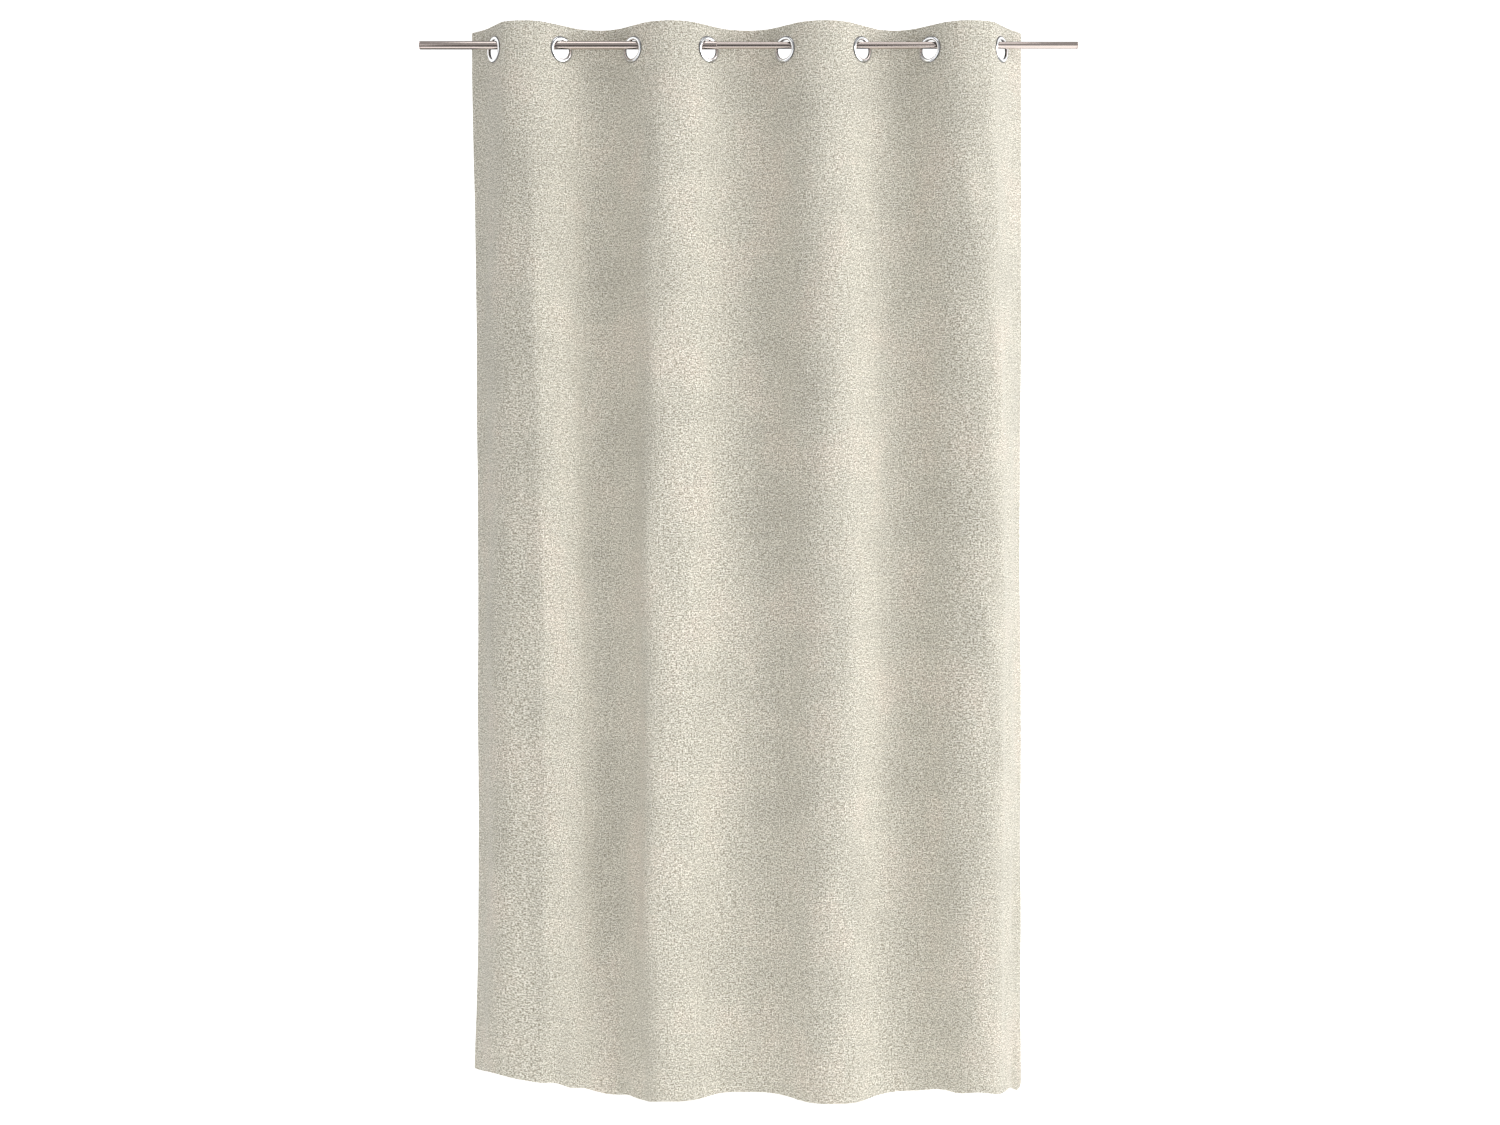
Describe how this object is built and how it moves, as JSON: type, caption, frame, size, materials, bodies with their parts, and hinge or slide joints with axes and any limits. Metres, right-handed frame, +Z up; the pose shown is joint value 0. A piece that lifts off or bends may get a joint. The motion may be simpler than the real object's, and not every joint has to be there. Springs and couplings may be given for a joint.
{
  "type": "eyelet curtain on a telescopic rod",
  "caption": "Full-length cloth curtain hung in soft folds by metal eyelets on a slim telescopic rod.",
  "frame": {"origin": "on the rod's axis, midway between the first and the last eyelet", "axes": "+X along the rod to the right as seen from the room, +Y away from the room towards the window, +Z up"},
  "size_m": [1.504, 0.1058, 2.458],
  "materials": {
    "curtain_cloth": "plain woven, heathered, matt",
    "stiffening_tape": "matt non-woven",
    "eyelet_chrome": "bright plated",
    "rod_nickel": "satin nickel plated",
    "guide_nylon": "moulded"
  },
  "bodies": {
    "outer_rod": {"rod_outer_tube": "rod_nickel", "rod_left_end_cap": "rod_nickel"},
    "inner_rod": {"rod_inner_tube": "rod_nickel", "rod_right_end_cap": "rod_nickel", "rod_guide_plug": "guide_nylon"},
    "pleat_1": {"cloth_pleat_1": "curtain_cloth", "heading_tape_1": "stiffening_tape", "eyelet_flange_1": "eyelet_chrome", "eyelet_washer_1": "eyelet_chrome"},
    "pleat_2": {"cloth_pleat_2": "curtain_cloth", "heading_tape_2": "stiffening_tape", "eyelet_flange_2": "eyelet_chrome", "eyelet_washer_2": "eyelet_chrome"},
    "pleat_3": {"cloth_pleat_3": "curtain_cloth", "heading_tape_3": "stiffening_tape", "eyelet_flange_3": "eyelet_chrome", "eyelet_washer_3": "eyelet_chrome"},
    "pleat_4": {"cloth_pleat_4": "curtain_cloth", "heading_tape_4": "stiffening_tape", "eyelet_flange_4": "eyelet_chrome", "eyelet_washer_4": "eyelet_chrome"},
    "pleat_5": {"cloth_pleat_5": "curtain_cloth", "heading_tape_5": "stiffening_tape", "eyelet_flange_5": "eyelet_chrome", "eyelet_washer_5": "eyelet_chrome"},
    "pleat_6": {"cloth_pleat_6": "curtain_cloth", "heading_tape_6": "stiffening_tape", "eyelet_flange_6": "eyelet_chrome", "eyelet_washer_6": "eyelet_chrome"},
    "pleat_7": {"cloth_pleat_7": "curtain_cloth", "heading_tape_7": "stiffening_tape", "eyelet_flange_7": "eyelet_chrome", "eyelet_washer_7": "eyelet_chrome"},
    "pleat_8": {"cloth_pleat_8": "curtain_cloth", "heading_tape_8": "stiffening_tape", "eyelet_flange_8": "eyelet_chrome", "eyelet_washer_8": "eyelet_chrome"}
  },
  "joints": [
    {"name": "rod_extension", "type": "slide", "parent": "outer_rod", "child": "inner_rod", "axis": [1, 0, 0], "range_m": [-0.09, 0.15]},
    {"name": "curtain_draw", "type": "hinge", "parent": "outer_rod", "child": "pleat_1", "pos_m": [-0.58, 0, 0], "axis": [0, 0, -1], "range_deg": [0, 50]},
    {"name": "fold_1", "type": "hinge", "parent": "pleat_1", "child": "pleat_2", "pos_m": [-0.50294, -0.0414, 0], "axis": [0, 0, 1], "range_deg": [0, 100]},
    {"name": "fold_2", "type": "hinge", "parent": "pleat_2", "child": "pleat_3", "pos_m": [-0.34469, 0.0414, 0], "axis": [0, 0, -1], "range_deg": [0, 100]},
    {"name": "fold_3", "type": "hinge", "parent": "pleat_3", "child": "pleat_4", "pos_m": [-0.17649, -0.0414, 0], "axis": [0, 0, 1], "range_deg": [0, 100]},
    {"name": "fold_4", "type": "hinge", "parent": "pleat_4", "child": "pleat_5", "pos_m": [-0.00249, 0.0414, 0], "axis": [0, 0, -1], "range_deg": [0, 100]},
    {"name": "fold_5", "type": "hinge", "parent": "pleat_5", "child": "pleat_6", "pos_m": [0.17317, -0.0414, 0], "axis": [0, 0, 1], "range_deg": [0, 100]},
    {"name": "fold_6", "type": "hinge", "parent": "pleat_6", "child": "pleat_7", "pos_m": [0.33889, 0.0414, 0], "axis": [0, 0, -1], "range_deg": [0, 100]},
    {"name": "fold_7", "type": "hinge", "parent": "pleat_7", "child": "pleat_8", "pos_m": [0.49797, -0.0414, 0], "axis": [0, 0, 1], "range_deg": [0, 100]}
  ],
  "couplings": [
    {"joint": "fold_1", "follows": "curtain_draw", "ratio": 2},
    {"joint": "fold_2", "follows": "curtain_draw", "ratio": 2},
    {"joint": "fold_3", "follows": "curtain_draw", "ratio": 2},
    {"joint": "fold_4", "follows": "curtain_draw", "ratio": 2},
    {"joint": "fold_5", "follows": "curtain_draw", "ratio": 2},
    {"joint": "fold_6", "follows": "curtain_draw", "ratio": 2},
    {"joint": "fold_7", "follows": "curtain_draw", "ratio": 2}
  ]
}
